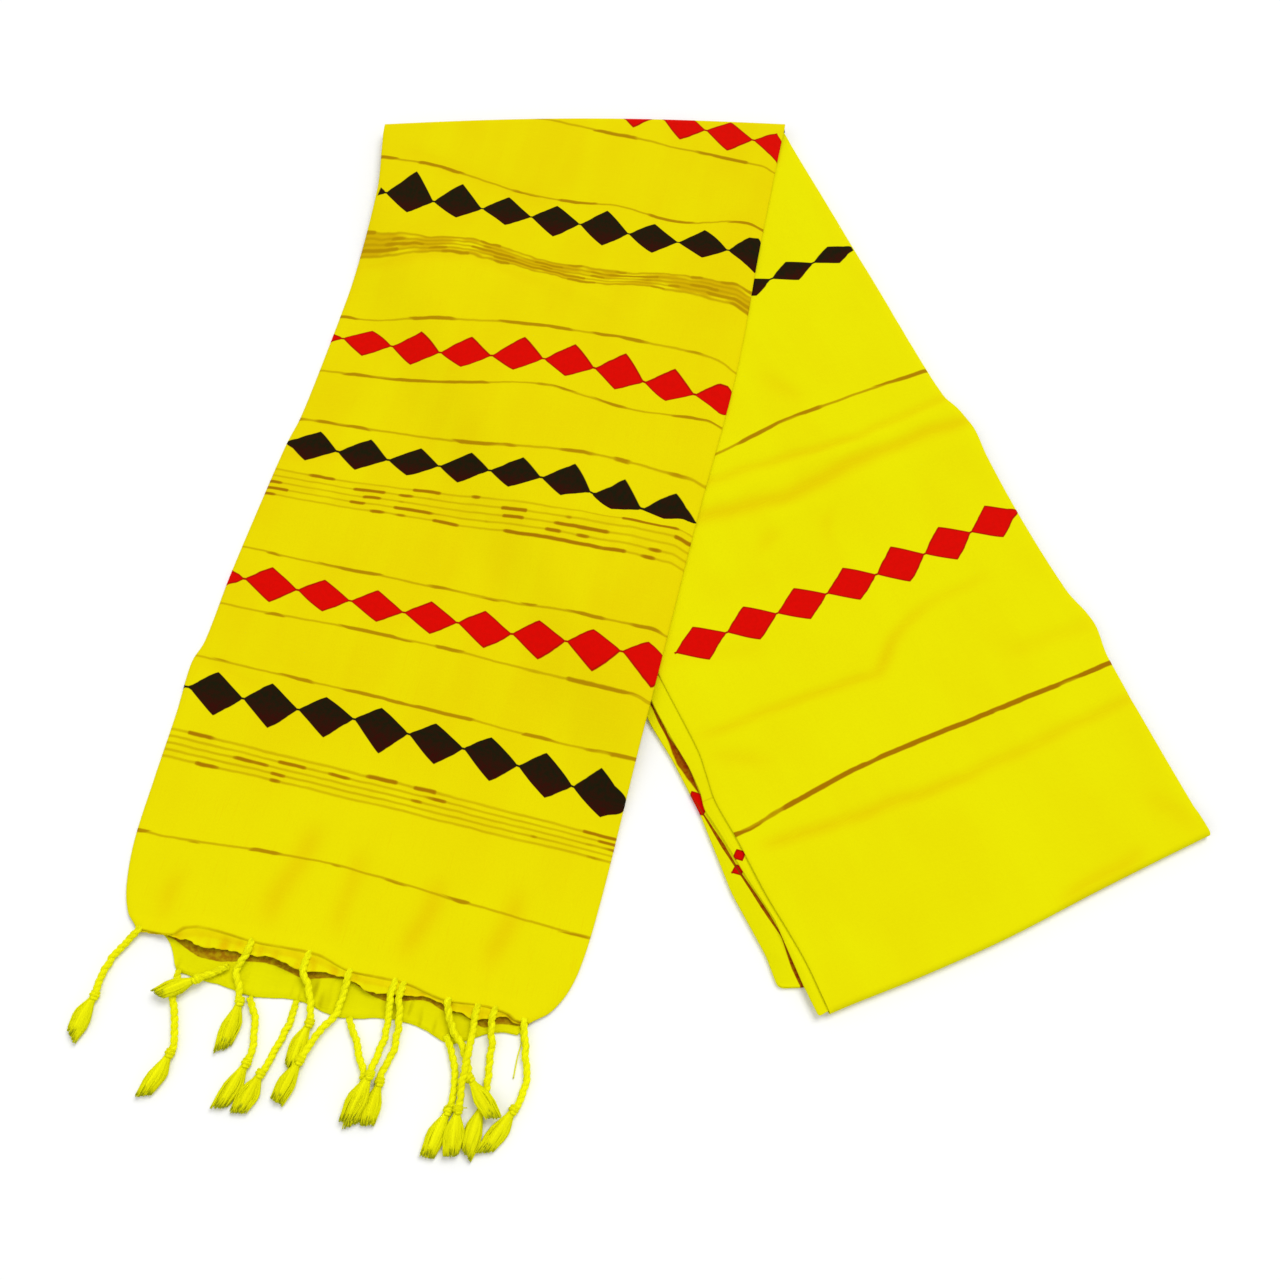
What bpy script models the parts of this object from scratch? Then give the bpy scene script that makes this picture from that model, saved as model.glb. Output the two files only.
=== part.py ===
"""A handwoven cotton saree, folded lengthwise to a strip and laid flat in an upside-down V."""

import math

import bpy

MM = 0.001

# The strip and the two legs of the V. Each leg is measured across its width and down from the top fold.
FOLD_LEFT = (-199.4, 363.7)  # left end of the top fold, where the pallu leg is measured from
FOLD_RIGHT = (100.8, 364.6)  # right end of the top fold, where the body leg is measured from
FOLD_BULGE = 5.5
PALLU_TURN = math.radians(12.8)
BODY_TURN = math.radians(24.7)

# The stack under the body leg, from the surface up.
LOWER_THICK = 3.0
MIDDLE_THICK = 2.4
FACE_WALL = 1.2
GAP = 0.3
MIDDLE_FOOT = LOWER_THICK + GAP
FACE_FOOT = MIDDLE_FOOT + MIDDLE_THICK + GAP
STACK_TOP = FACE_FOOT + FACE_WALL
REST = STACK_TOP + GAP  # where the pallu leg rests on the body leg

# The pallu leg: a lower layer, and a face that turns down round it at both sides.
UNDER_WALL = 1.2
PALLU_WALL = 1.0
PALLU_TOP = 2.7
SLOPE_START = 296.0  # how far left of the body leg's right edge the pallu leg starts to drop
SLOPE_RUN = 56.0
UNDER_INSET = 2.7
MOUTH_LIFT = 1.7
MOUTH_WAVE = 1.0
FOLD_RADIUS = (REST + PALLU_TOP - FACE_FOOT) / 2

# Edges of the pallu leg as (down, across), and its two hems as (across, down).
PALLU_LEFT = ((0, 0), (58, 11), (125, 14.5), (190, 14), (272, 10), (376, 3), (458, 2.5), (560, 3), (588, 8),
              (612, 24))
PALLU_RIGHT = ((-67, 293), (52, 296), (177, 300), (270, 297), (378, 295.5), (470, 294), (557, 292), (590, 287),
               (615, 268))
PALLU_HEM = ((20, 611), (87, 611.5), (156, 612), (220, 616), (270, 617))
UNDER_HEM = ((40, 625), (62, 630), (80, 630), (106, 634), (151, 632), (193, 627), (225, 630), (264, 622))

# Edges of the body leg as (down, across), and its bottom fold as (across, down).
BODY_RIGHT = ((0, -3), (122, -4.5), (240, -5), (282, 1.5), (357, -3.5), (415, -3), (442, 1.5), (480, -3.5), (597, -7))
BODY_LEFT = ((-125, -272), (360, -271), (470, -272.5), (597, -271))
BODY_BOTTOM = ((-272, 595), (-152, 600), (-7, 597))
BOTTOM_RADIUS = STACK_TOP / 2
EDGE_RADIUS = 2.4

PALLU_COLUMNS = 13
PALLU_ROWS = 28
BODY_COLUMNS = 9
BODY_ROWS = 14

CORD_RADIUS = 2.2
KNOT_RADIUS = 3.1
BRUSH_RADIUS = 3.3

YELLOW = (0.83, 0.77, 0.0)
SHADED_YELLOW = (0.66, 0.63, 0.0)
FOLD_YELLOW = (0.80, 0.68, 0.0)
TASSEL_YELLOW = (0.78, 0.82, 0.02)

# Each tassel from its hem to the tip of its brush, as (x, y, height of its middle).
TASSELS = (
    ((-312, -242, 3), (-321, -251, 2.6), (-329, -265, 2.5), (-333, -281, 2.7), (-343, -301, 2.8)),
    ((-284, -266, 2), (-285, -280, 2.2), (-282, -297, 2.4), (-283, -311, 2.7), (-295, -336, 2.8)),
    ((-254, -261, 4.3), (-263, -265, 4.6), (-272, -269, 6), (-281, -272, 8), (-294, -277, 6)),
    ((-244, -256, 6.4), (-248, -262, 4.9), (-247, -270, 4.6), (-246, -285, 2.6), (-252, -309, 2.8)),
    ((-238, -282, 2), (-236, -290, 2.3), (-235, -301, 2.4), (-238, -317, 2.7), (-251, -342, 2.8)),
    ((-213, -284, 2), (-215, -294, 2.3), (-220, -307, 2.4), (-228, -321, 2.7), (-240, -345, 2.8)),
    ((-208, -264, 6.2), (-205, -273, 4.6), (-203, -285, 3.8), (-204, -299, 2.8), (-215, -320, 2.8)),
    ((-183, -271, 6), (-184, -279, 4.6), (-187, -288, 4.2), (-196, -299, 4.6), (-207, -316, 4), (-219, -339, 3)),
    ((-178, -294, 2), (-174, -308, 2.3), (-170, -320, 2.4), (-168, -331, 2.6), (-171, -352, 2.8)),
    ((-156, -279, 6), (-156, -289, 4.6), (-158, -302, 3.6), (-163, -315, 6), (-169, -327, 8), (-181, -349, 4.4)),
    ((-150, -281, 6), (-150, -291, 4.6), (-151, -304, 3), (-155, -317, 2.5), (-159, -330, 2.7), (-164, -353, 2.8)),
    ((-120, -304, 2), (-117, -315, 2.3), (-116, -328, 2.4), (-118, -342, 2.7), (-131, -368, 2.8)),
    ((-122, -288, 5.6), (-118, -298, 4.4), (-112, -308, 3.8), (-108, -321, 4.2), (-103, -334, 8.6), (-92, -347, 7.4)),
    ((-106, -292, 5.6), (-106, -300, 5.6), (-108, -311, 9.8), (-110, -322, 9), (-112, -337, 6.4), (-117, -369, 4)),
    ((-95, -295, 5.4), (-95, -304, 4), (-96, -316, 2.4), (-97, -329, 2.4), (-100, -342, 2.7), (-107, -368, 2.8)),
    ((-77, -300, 4), (-75, -311, 2.6), (-74, -325, 2.4), (-78, -338, 2.5), (-85, -349, 2.7), (-97, -367, 2.8)),
)


def clear_scene():
    for obj in list(bpy.data.objects):
        bpy.data.objects.remove(obj)


def eased(t):
    t = min(max(t, 0.0), 1.0)
    return t * t * (3 - 2 * t)


def along(stations, where):
    """The value at this place between (place, value) stations, eased from one to the next."""
    if where <= stations[0][0]:
        return stations[0][1]
    for (a, low), (b, high) in zip(stations, stations[1:]):
        if where <= b:
            part = (where - a) / (b - a)
            return low + (high - low) * (0.6 * part + 0.4 * eased(part))
    return stations[-1][1]


def pallu_plan(across, down):
    x = FOLD_LEFT[0] + across * math.cos(PALLU_TURN) - down * math.sin(PALLU_TURN)
    y = FOLD_LEFT[1] - across * math.sin(PALLU_TURN) - down * math.cos(PALLU_TURN)
    return x, y


def body_plan(across, down):
    x = FOLD_RIGHT[0] + across * math.cos(BODY_TURN) + down * math.sin(BODY_TURN)
    y = FOLD_RIGHT[1] + across * math.sin(BODY_TURN) - down * math.cos(BODY_TURN)
    return x, y


def rest_height(x, y):
    """What the pallu leg lies on: the top of the body leg, easing down to the surface on its left."""
    across = (x - FOLD_RIGHT[0]) * math.cos(BODY_TURN) + (y - FOLD_RIGHT[1]) * math.sin(BODY_TURN)
    return REST * (1 - eased((-across - SLOPE_START) / SLOPE_RUN))


def fold_down(across):
    """How far down the pallu leg the middle of the top fold's roll is, at this place across it."""
    part = across / 293
    bulge = FOLD_BULGE * math.sin(math.pi * min(max(part, 0), 1))
    return -across * math.tan(PALLU_TURN) - bulge + FOLD_RADIUS - 1.2


def pallu_place(u, v):
    """(across, down) of a place on the pallu leg, with u and v running 0 to 1 across and from fold to hem."""
    near = 293 * u
    top = fold_down(near)
    bottom = along(PALLU_HEM, 24 + 244 * u)
    down = top + (bottom - top) * v
    left = along(PALLU_LEFT, down)
    right = along(PALLU_RIGHT, down)
    return left + (right - left) * u, down


def mouth_lift(across, v):
    wave = MOUTH_LIFT + MOUTH_WAVE * math.cos(across * math.tau / 51)
    return wave * eased((v - 0.93) / 0.07)


def grid_object(name, columns, rows, place, wall, offset, colour):
    """A grid whose points are put by place(column, row), made a solid of this wall."""
    bpy.ops.mesh.primitive_grid_add(x_subdivisions=columns, y_subdivisions=rows, size=2)
    obj = bpy.context.object
    for vertex in obj.data.vertices:
        column = round((vertex.co.x + 1) / 2 * columns)
        row = round((1 - vertex.co.y) / 2 * rows)
        vertex.co = [value * MM for value in place(column, row)]
    solid = obj.modifiers.new("wall", "SOLIDIFY")
    solid.thickness = wall * MM
    solid.offset = offset
    solid.use_even_offset = True
    return finish(obj, name, colour)


def finish(obj, name, colour):
    obj.name = name
    obj.data.name = name
    material = bpy.data.materials.new(name)
    material.use_nodes = True
    shader = material.node_tree.nodes["Principled BSDF"]
    shader.inputs["Base Color"].default_value = (*colour, 1)
    shader.inputs["Roughness"].default_value = 0.85
    obj.data.materials.clear()
    obj.data.materials.append(material)
    for owner in list(obj.users_collection):
        owner.objects.unlink(obj)
    home.objects.link(obj)
    return obj


def side_curl(t, radius):
    """(inset, drop) of a quarter turn at a side edge, with t from 0 at the flat to 1 at the rim."""
    angle = t * math.pi / 2
    return radius * (1 - math.sin(angle)), radius * (1 - math.cos(angle))


def pallu_face():
    curl = 3  # extra columns of the turn at each side
    lip = 6  # extra rows of the roll at the top fold
    columns = PALLU_COLUMNS + 2 * curl
    rows = PALLU_ROWS + lip

    def place(column, row):
        step = column - curl
        inner = min(max(step, 0), PALLU_COLUMNS)
        turned = max(-step, step - PALLU_COLUMNS, 0) / curl
        v = max(row - lip, 0) / PALLU_ROWS
        across, down = pallu_place(inner / PALLU_COLUMNS, v)
        inset, drop = side_curl(turned, PALLU_TOP)
        if inner == 0:
            across += inset
        elif inner == PALLU_COLUMNS:
            across -= inset
        x, y = pallu_plan(across, down)
        if row < lip:
            angle = math.pi * min((lip - row) / (lip - 1), 1)
            y += FOLD_RADIUS * math.sin(angle)
            z = FACE_FOOT + FOLD_RADIUS + FOLD_RADIUS * math.cos(angle)
            if row == 0:
                y -= 1.5
            return x, y, z
        fade = eased(v / 0.05) * (1 - eased((v - 0.96) / 0.04))
        return x, y, rest_height(x, y) + PALLU_TOP + mouth_lift(across, v) - 0.85 * drop * fade

    return grid_object("pallu_face", columns, rows, place, PALLU_WALL, -1, YELLOW)


def pallu_under():
    extra = 2  # rows past the upper hem

    def place(column, row):
        u = column / PALLU_COLUMNS
        v = min(row / PALLU_ROWS, 1)
        across, down = pallu_place(u, v)
        centre = 151
        if row > PALLU_ROWS:
            low = along(UNDER_HEM, 40 + 224 * u)
            down += (low - down) * (row - PALLU_ROWS) / extra
        near = max(v - 0.93, 0) / 0.07
        pulled = 0.09 * eased(near) + 0.035 * max(row - PALLU_ROWS, 0)
        if across > centre:
            pulled *= 0.35
        across = centre + (across - centre) * (1 - pulled)
        if column == 0:
            across += UNDER_INSET
        elif column == PALLU_COLUMNS:
            across -= UNDER_INSET
        if row == 0:
            down += 0.6
        x, y = pallu_plan(across, down)
        return x, y, rest_height(x, y)

    return grid_object("pallu_under", PALLU_COLUMNS, PALLU_ROWS + extra, place, UNDER_WALL, 1, SHADED_YELLOW)


def body_face():
    curl = 4  # extra columns of the turn at the right side
    roll = 7  # extra rows of the bottom fold
    columns = BODY_COLUMNS + curl
    rows = BODY_ROWS + roll

    def place(column, row):
        u = min(column / BODY_COLUMNS, 1)
        v = min(row / BODY_ROWS, 1)
        start = -272 + 272 * u
        bottom = along(BODY_BOTTOM, start) - BOTTOM_RADIUS
        fold = start * math.tan(BODY_TURN) - FOLD_BULGE * math.sin(math.pi * u) + FOLD_RADIUS + 5
        down = fold + (bottom - fold) * v
        left = along(BODY_LEFT, down)
        right = along(BODY_RIGHT, down)
        across = left + (right - left) * u
        drop = 0
        if column >= BODY_COLUMNS:
            turned = min((column - BODY_COLUMNS) / (curl - 1), 1)
            fade = eased((1 - v) / 0.08) * eased(v / 0.08)
            inset, drop = side_curl(turned, EDGE_RADIUS)
            across -= inset
            if column == columns:
                drop += 1.3
            drop *= fade
            across += 0.1 * (column - columns) * (1 - fade)
        x, y = body_plan(across, down)
        z = STACK_TOP - drop
        if row > BODY_ROWS:
            angle = math.pi * min((row - BODY_ROWS) / (roll - 1), 1)
            reach = BOTTOM_RADIUS * math.sin(angle)
            if row == rows:
                reach -= 6
            x, y = body_plan(across, down + reach)
            z = BOTTOM_RADIUS + BOTTOM_RADIUS * math.cos(angle)
        return x, y, z

    return grid_object("body_face", columns, rows, place, FACE_WALL, -1, YELLOW)


def packet(name, foot, thick, layers, corners, colour):
    """Hidden layers as one slab with a groove between each two at its edges. Its corners are (across, down)."""
    outline = []
    for (a, b), (c, d) in zip(corners, corners[1:] + corners[:1]):
        pieces = max(2, round(math.hypot(c - a, d - b) / 60))
        reach = 5 / math.hypot(c - a, d - b)
        for step in range(pieces + 1):
            part = reach + (1 - 2 * reach) * step / pieces
            outline.append((a + (c - a) * part, b + (d - b) * part))
    middle = [sum(values) / len(outline) for values in zip(*outline)]
    profile = []
    for layer in range(layers):
        low = foot + thick * layer / layers
        high = foot + thick * (layer + 1) / layers
        profile += [(low, 0.7), ((low * 3 + high) / 4, 0.1), ((low + high * 3) / 4, 0.1)]
    profile.append((foot + thick, 0.7))
    count = len(outline)
    points = []
    for height, inset in profile:
        for across, down in outline:
            away = math.hypot(across - middle[0], down - middle[1])
            part = 1 - inset / away
            x, y = body_plan(middle[0] + (across - middle[0]) * part, middle[1] + (down - middle[1]) * part)
            points.append((x * MM, y * MM, height * MM))
    faces = [tuple(range(count - 1, -1, -1)), tuple(range(len(points) - count, len(points)))]
    for ring in range(len(profile) - 1):
        for i in range(count):
            j = (i + 1) % count
            faces.append((ring * count + i, ring * count + j, (ring + 1) * count + j, (ring + 1) * count + i))
    mesh = bpy.data.meshes.new(name)
    mesh.from_pydata(points, [], faces)
    return finish(bpy.data.objects.new(name, mesh), name, colour)


def fold_corner(across, inset):
    return across, across * math.tan(BODY_TURN) + inset


def packets():
    lower = (fold_corner(-0.8, 9), fold_corner(-275, 22), (-290.5, 386), (-289, 571), (-8, 573), (-6, 474))
    middle = (fold_corner(-7.5, 6), fold_corner(-271, 12), (-284, 376), (-276.5, 591), (-11.5, 592), (-10.5, 474))
    packet("lower_packet", 0, LOWER_THICK, 4, lower, FOLD_YELLOW)
    packet("middle_packet", MIDDLE_FOOT, MIDDLE_THICK, 3, middle, FOLD_YELLOW)


def smooth_route(route, steps):
    """More points on a curve through these ones."""
    ends = [route[0], *route, route[-1]]
    found = []
    for i in range(len(route) - 1):
        before, a, b, after = ends[i : i + 4]
        for step in range(steps):
            t = step / steps
            found.append([
                0.5 * (2 * q + (r - p) * t + (2 * p - 5 * q + 4 * r - s) * t * t + (3 * q - p - 3 * r + s) * t**3)
                for p, q, r, s in zip(before, a, b, after)
            ])
    return [*found, list(route[-1])]


def tassel(number, route):
    """A twisted cord, its knot, and the loose brush past it."""
    name = f"tassel_{number:02d}"
    points = smooth_route(route, 2)
    count = len(points)
    curve = bpy.data.curves.new(name, "CURVE")
    curve.dimensions = "3D"
    curve.bevel_depth = MM
    curve.bevel_resolution = 1
    curve.use_fill_caps = True
    spline = curve.splines.new("POLY")
    spline.points.add(count - 1)
    for i, (x, y, z) in enumerate(points):
        spline.points[i].co = (x * MM, y * MM, z * MM, 1)
        spline.points[i].radius = CORD_RADIUS
    spline.points[0].radius = 1.3
    spline.points[count - 3].radius = KNOT_RADIUS * 0.8
    spline.points[count - 2].radius = BRUSH_RADIUS * 0.8
    spline.points[count - 1].radius = BRUSH_RADIUS * 0.75
    return finish(bpy.data.objects.new(name, curve), name, TASSEL_YELLOW)


clear_scene()
home = bpy.data.collections.new("folded_saree")
bpy.context.scene.collection.children.link(home)
pallu_face()
pallu_under()
body_face()
packets()
for index, path in enumerate(TASSELS):
    tassel(index + 1, path)
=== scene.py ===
import math
import random

import bpy
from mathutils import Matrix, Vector, noise


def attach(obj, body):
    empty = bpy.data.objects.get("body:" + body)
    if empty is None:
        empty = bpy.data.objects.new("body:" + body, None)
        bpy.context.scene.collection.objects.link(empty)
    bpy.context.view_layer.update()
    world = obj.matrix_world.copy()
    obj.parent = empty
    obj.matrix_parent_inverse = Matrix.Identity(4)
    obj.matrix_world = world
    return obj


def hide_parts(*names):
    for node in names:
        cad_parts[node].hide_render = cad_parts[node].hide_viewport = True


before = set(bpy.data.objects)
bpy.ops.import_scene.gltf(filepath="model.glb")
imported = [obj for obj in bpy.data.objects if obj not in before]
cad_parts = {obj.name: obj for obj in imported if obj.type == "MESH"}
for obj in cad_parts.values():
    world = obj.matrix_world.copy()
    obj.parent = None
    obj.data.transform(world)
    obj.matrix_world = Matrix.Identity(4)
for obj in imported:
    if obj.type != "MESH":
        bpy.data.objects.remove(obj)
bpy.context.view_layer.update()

mm = 0.001
farAway = -9.0  # well clear of a seam or a hem's mouth
scene = bpy.context.scene
scene.view_settings.view_transform = "Standard"

studio = {
    "cameraAt": (-0.008, -0.4145, 0.9042), "cameraTilt": 22, "lens": 42,
    "floor": (0.96, 0.96, 0.96), "sky": 0.55,
    "lamps": [
        # name, where it shines from, strength, softness in degrees
        ("keyLamp", (0.42, 0.55, 1.1), 1.5, 35),
        ("fillLamp", (-0.8, -0.5, 1.2), 0.45, 60),
    ],
}


def makeStudio():
    camera = bpy.data.objects.new("camera", bpy.data.cameras.new("camera"))
    camera.location = studio["cameraAt"]
    camera.rotation_euler = (math.radians(studio["cameraTilt"]), 0, 0)
    camera.data.lens = studio["lens"]
    camera.data.clip_start = 0.01
    scene.collection.objects.link(camera)
    scene.camera = camera
    for name, source, strength, softness in studio["lamps"]:
        lamp = bpy.data.lights.new(name, "SUN")
        lamp.energy = strength
        lamp.angle = math.radians(softness)
        holder = bpy.data.objects.new(name, lamp)
        holder.location = source
        holder.rotation_euler = Vector(source).to_track_quat("Z", "Y").to_euler()
        scene.collection.objects.link(holder)
    world = bpy.data.worlds.new("softRoom")
    world.use_nodes = True
    world.node_tree.nodes["Background"].inputs["Color"].default_value = (1, 1, 1, 1)
    world.node_tree.nodes["Background"].inputs["Strength"].default_value = studio["sky"]
    scene.world = world
    bpy.ops.mesh.primitive_plane_add(size=12, location=(0, 0, -0.2 * mm))
    floor = bpy.context.object
    floor.name = "floor"
    paint = bpy.data.materials.new("paleFloor")
    paint.use_nodes = True
    shader = paint.node_tree.nodes["Principled BSDF"]
    shader.inputs["Base Color"].default_value = (*studio["floor"], 1)
    shader.inputs["Roughness"].default_value = 0.9
    shader.inputs["Specular IOR Level"].default_value = 0.1
    floor.data.materials.append(paint)


makeStudio()
print("studio ready")


class Wire:
    # a node socket that can be used in plain expressions
    def __init__(self, tree, socket=None):
        self.tree = tree
        self.socket = socket

    def feed(self, socket, value):
        # a socket takes a link, a number, or a colour of three numbers
        if isinstance(value, Wire):
            self.tree.links.new(value.socket, socket)
        else:
            socket.default_value = (*value, 1) if isinstance(value, tuple) else value

    def node(self, kind, settings=None, sockets=None, output=0):
        made = self.tree.nodes.new(kind)
        for key, value in (settings or {}).items():
            setattr(made, key, value)
        for key, value in (sockets or {}).items():
            self.feed(made.inputs[key], value)
        return Wire(self.tree, made.outputs[output])

    def maths(self, operation, *others):
        return self.node("ShaderNodeMath", {"operation": operation}, dict(enumerate([self, *others])))

    def __add__(self, other):
        return self.maths("ADD", other)

    __radd__ = __add__

    def __mul__(self, other):
        return self.maths("MULTIPLY", other)

    __rmul__ = __mul__

    def __sub__(self, other):
        return self.maths("SUBTRACT", other)

    def __rsub__(self, other):
        return self.node("ShaderNodeMath", {"operation": "SUBTRACT"}, {0: other, 1: self})

    def __truediv__(self, other):
        return self.maths("DIVIDE", other)

    def __abs__(self):
        return self.maths("ABSOLUTE")

    def most(self, other):
        return self.maths("MAXIMUM", other)

    def least(self, other):
        return self.maths("MINIMUM", other)

    def share(self):
        # kept between 0 and 1
        return self.most(0.0).least(1.0)

    def smooth(self, low, high):
        # 0 below low and 1 above high, eased between
        settings = {"interpolation_type": "SMOOTHSTEP"}
        return self.node("ShaderNodeMapRange", settings, {0: self, 1: low, 2: high})

    def between(self, first, second):
        # the colour this share of the way from the first to the second
        return self.node("ShaderNodeMix", {"data_type": "RGBA"}, {0: self, 6: first, 7: second}, 2)

    def joined(self, y, z=0.0):
        return self.node("ShaderNodeCombineXYZ", None, {0: self, 1: y, 2: z})

    def parts(self):
        # the three numbers of a vector
        outputs = self.node("ShaderNodeSeparateXYZ", None, {0: self}).socket.node.outputs
        return [Wire(self.tree, output) for output in outputs]

    def attribute(self, name):
        return self.node("ShaderNodeAttribute", {"attribute_name": name}, None, 1)

    def grain(self, scale, detail=2.0):
        return self.node("ShaderNodeTexNoise", None, {"Vector": self, "Scale": scale, "Detail": detail})


def newMaterial(name, constants):
    material = bpy.data.materials.new(name)
    material.use_nodes = True
    shader = material.node_tree.nodes["Principled BSDF"]
    for key, value in constants.items():
        shader.inputs[key].default_value = value
    return material, shader, Wire(material.node_tree)


dyesAndShades = {
    "redHeart": (0.69, 0.001, 0.0), "redRim": (0.32, 0.003, 0.0),
    "blackHeart": (0.009, 0.0085, 0.002), "blackRim": (0.042, 0.001, 0.001),
    "honey": (0.62, 0.41, 0.0), "ochre": (0.48, 0.30, 0.0), "brown": (0.36, 0.145, 0.0),
    # the last two are not dyes but painted shadow: for the hem's mouth and for the gaps between the packet
    # layers
    "shade": (0.30, 0.11, 0.002), "gapShadow": (0.28, 0.035, 0.0),
}


def diamondRow(across, down, row):
    # (mask, rim) of a row of woven diamonds, joined at their points
    height = down - row["at"]
    place = (across - height * row.get("skew", 0.0) - row["start"]) / row["pitch"]
    number = place.maths("FLOOR")
    spread = number.node("ShaderNodeTexWhiteNoise", {"noise_dimensions": "1D"}, {"W": number + row["at"]})
    side = abs(place - number - 0.5) * 2
    tall = (spread * 0.14 + 0.93) * (row["tall"] / 2)
    inside = 1 - side.maths("POWER", 1.1) - abs(height) / tall
    reach = inside * row["tall"] * 0.42
    thread = 0.7 - abs(height)
    mask = reach.most(thread).smooth(-0.25, 0.3)
    if "left" in row:
        mask = across.smooth(row["left"] - 0.4, row["left"] + 0.4) * mask
    if "right" in row:
        mask = (1 - across.smooth(row["right"] - 0.4, row["right"] + 0.4)) * mask
    return mask, 1 - reach.smooth(0.35, 1.5)


def weftLine(down, line, dyed):
    # (mask, dash) of one thin coloured weft line, thicker and darker where the dyed yarn shows
    dashes = line.get("dashes", 0.49)
    dash = dyed.smooth(dashes, dashes + 0.07)
    half = dash * 0.5 + line.get("half", 0.65)
    mask = 1 - (abs(down - line["at"]) - half).smooth(-0.5, 0.6)
    return mask * (dyed * 0.4 + line.get("least", 0.55)).least(1.0), dash * mask * line.get("dark", 0.6)


def weftBand(across, down, band, cloudy):
    # (mask, dash, wash) of close lines, each with its own dashes, on a cloudy tint
    place = (down - band["at"]) / band["step"]
    number = place.maths("ROUND").most(0.0).least(band["lines"] - 1.0)
    away = abs(place - number) * band["step"]
    run = across.joined(number * 47 + band["at"] * 0.37).grain(0.032, 1)
    dashes = band.get("dashes", 0.53)
    dash = run.smooth(dashes, dashes + 0.04)
    half = dash * band.get("swell", 0.7) + band.get("half", 0.6)
    strength = (run * 0.5 + band.get("least", 0.25) + dash).least(1.0)
    mask = (1 - (away - half).smooth(-0.5, band.get("soft", 0.7))) * strength
    middle = band["step"] * (band["lines"] - 1) / 2
    inside = 1 - (abs(down - (band["at"] + middle)) - middle).smooth(-0.8, 1.6)
    return mask, dash * mask * band.get("dark", 0.85), inside * cloudy * band.get("wash", 0.15)


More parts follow.
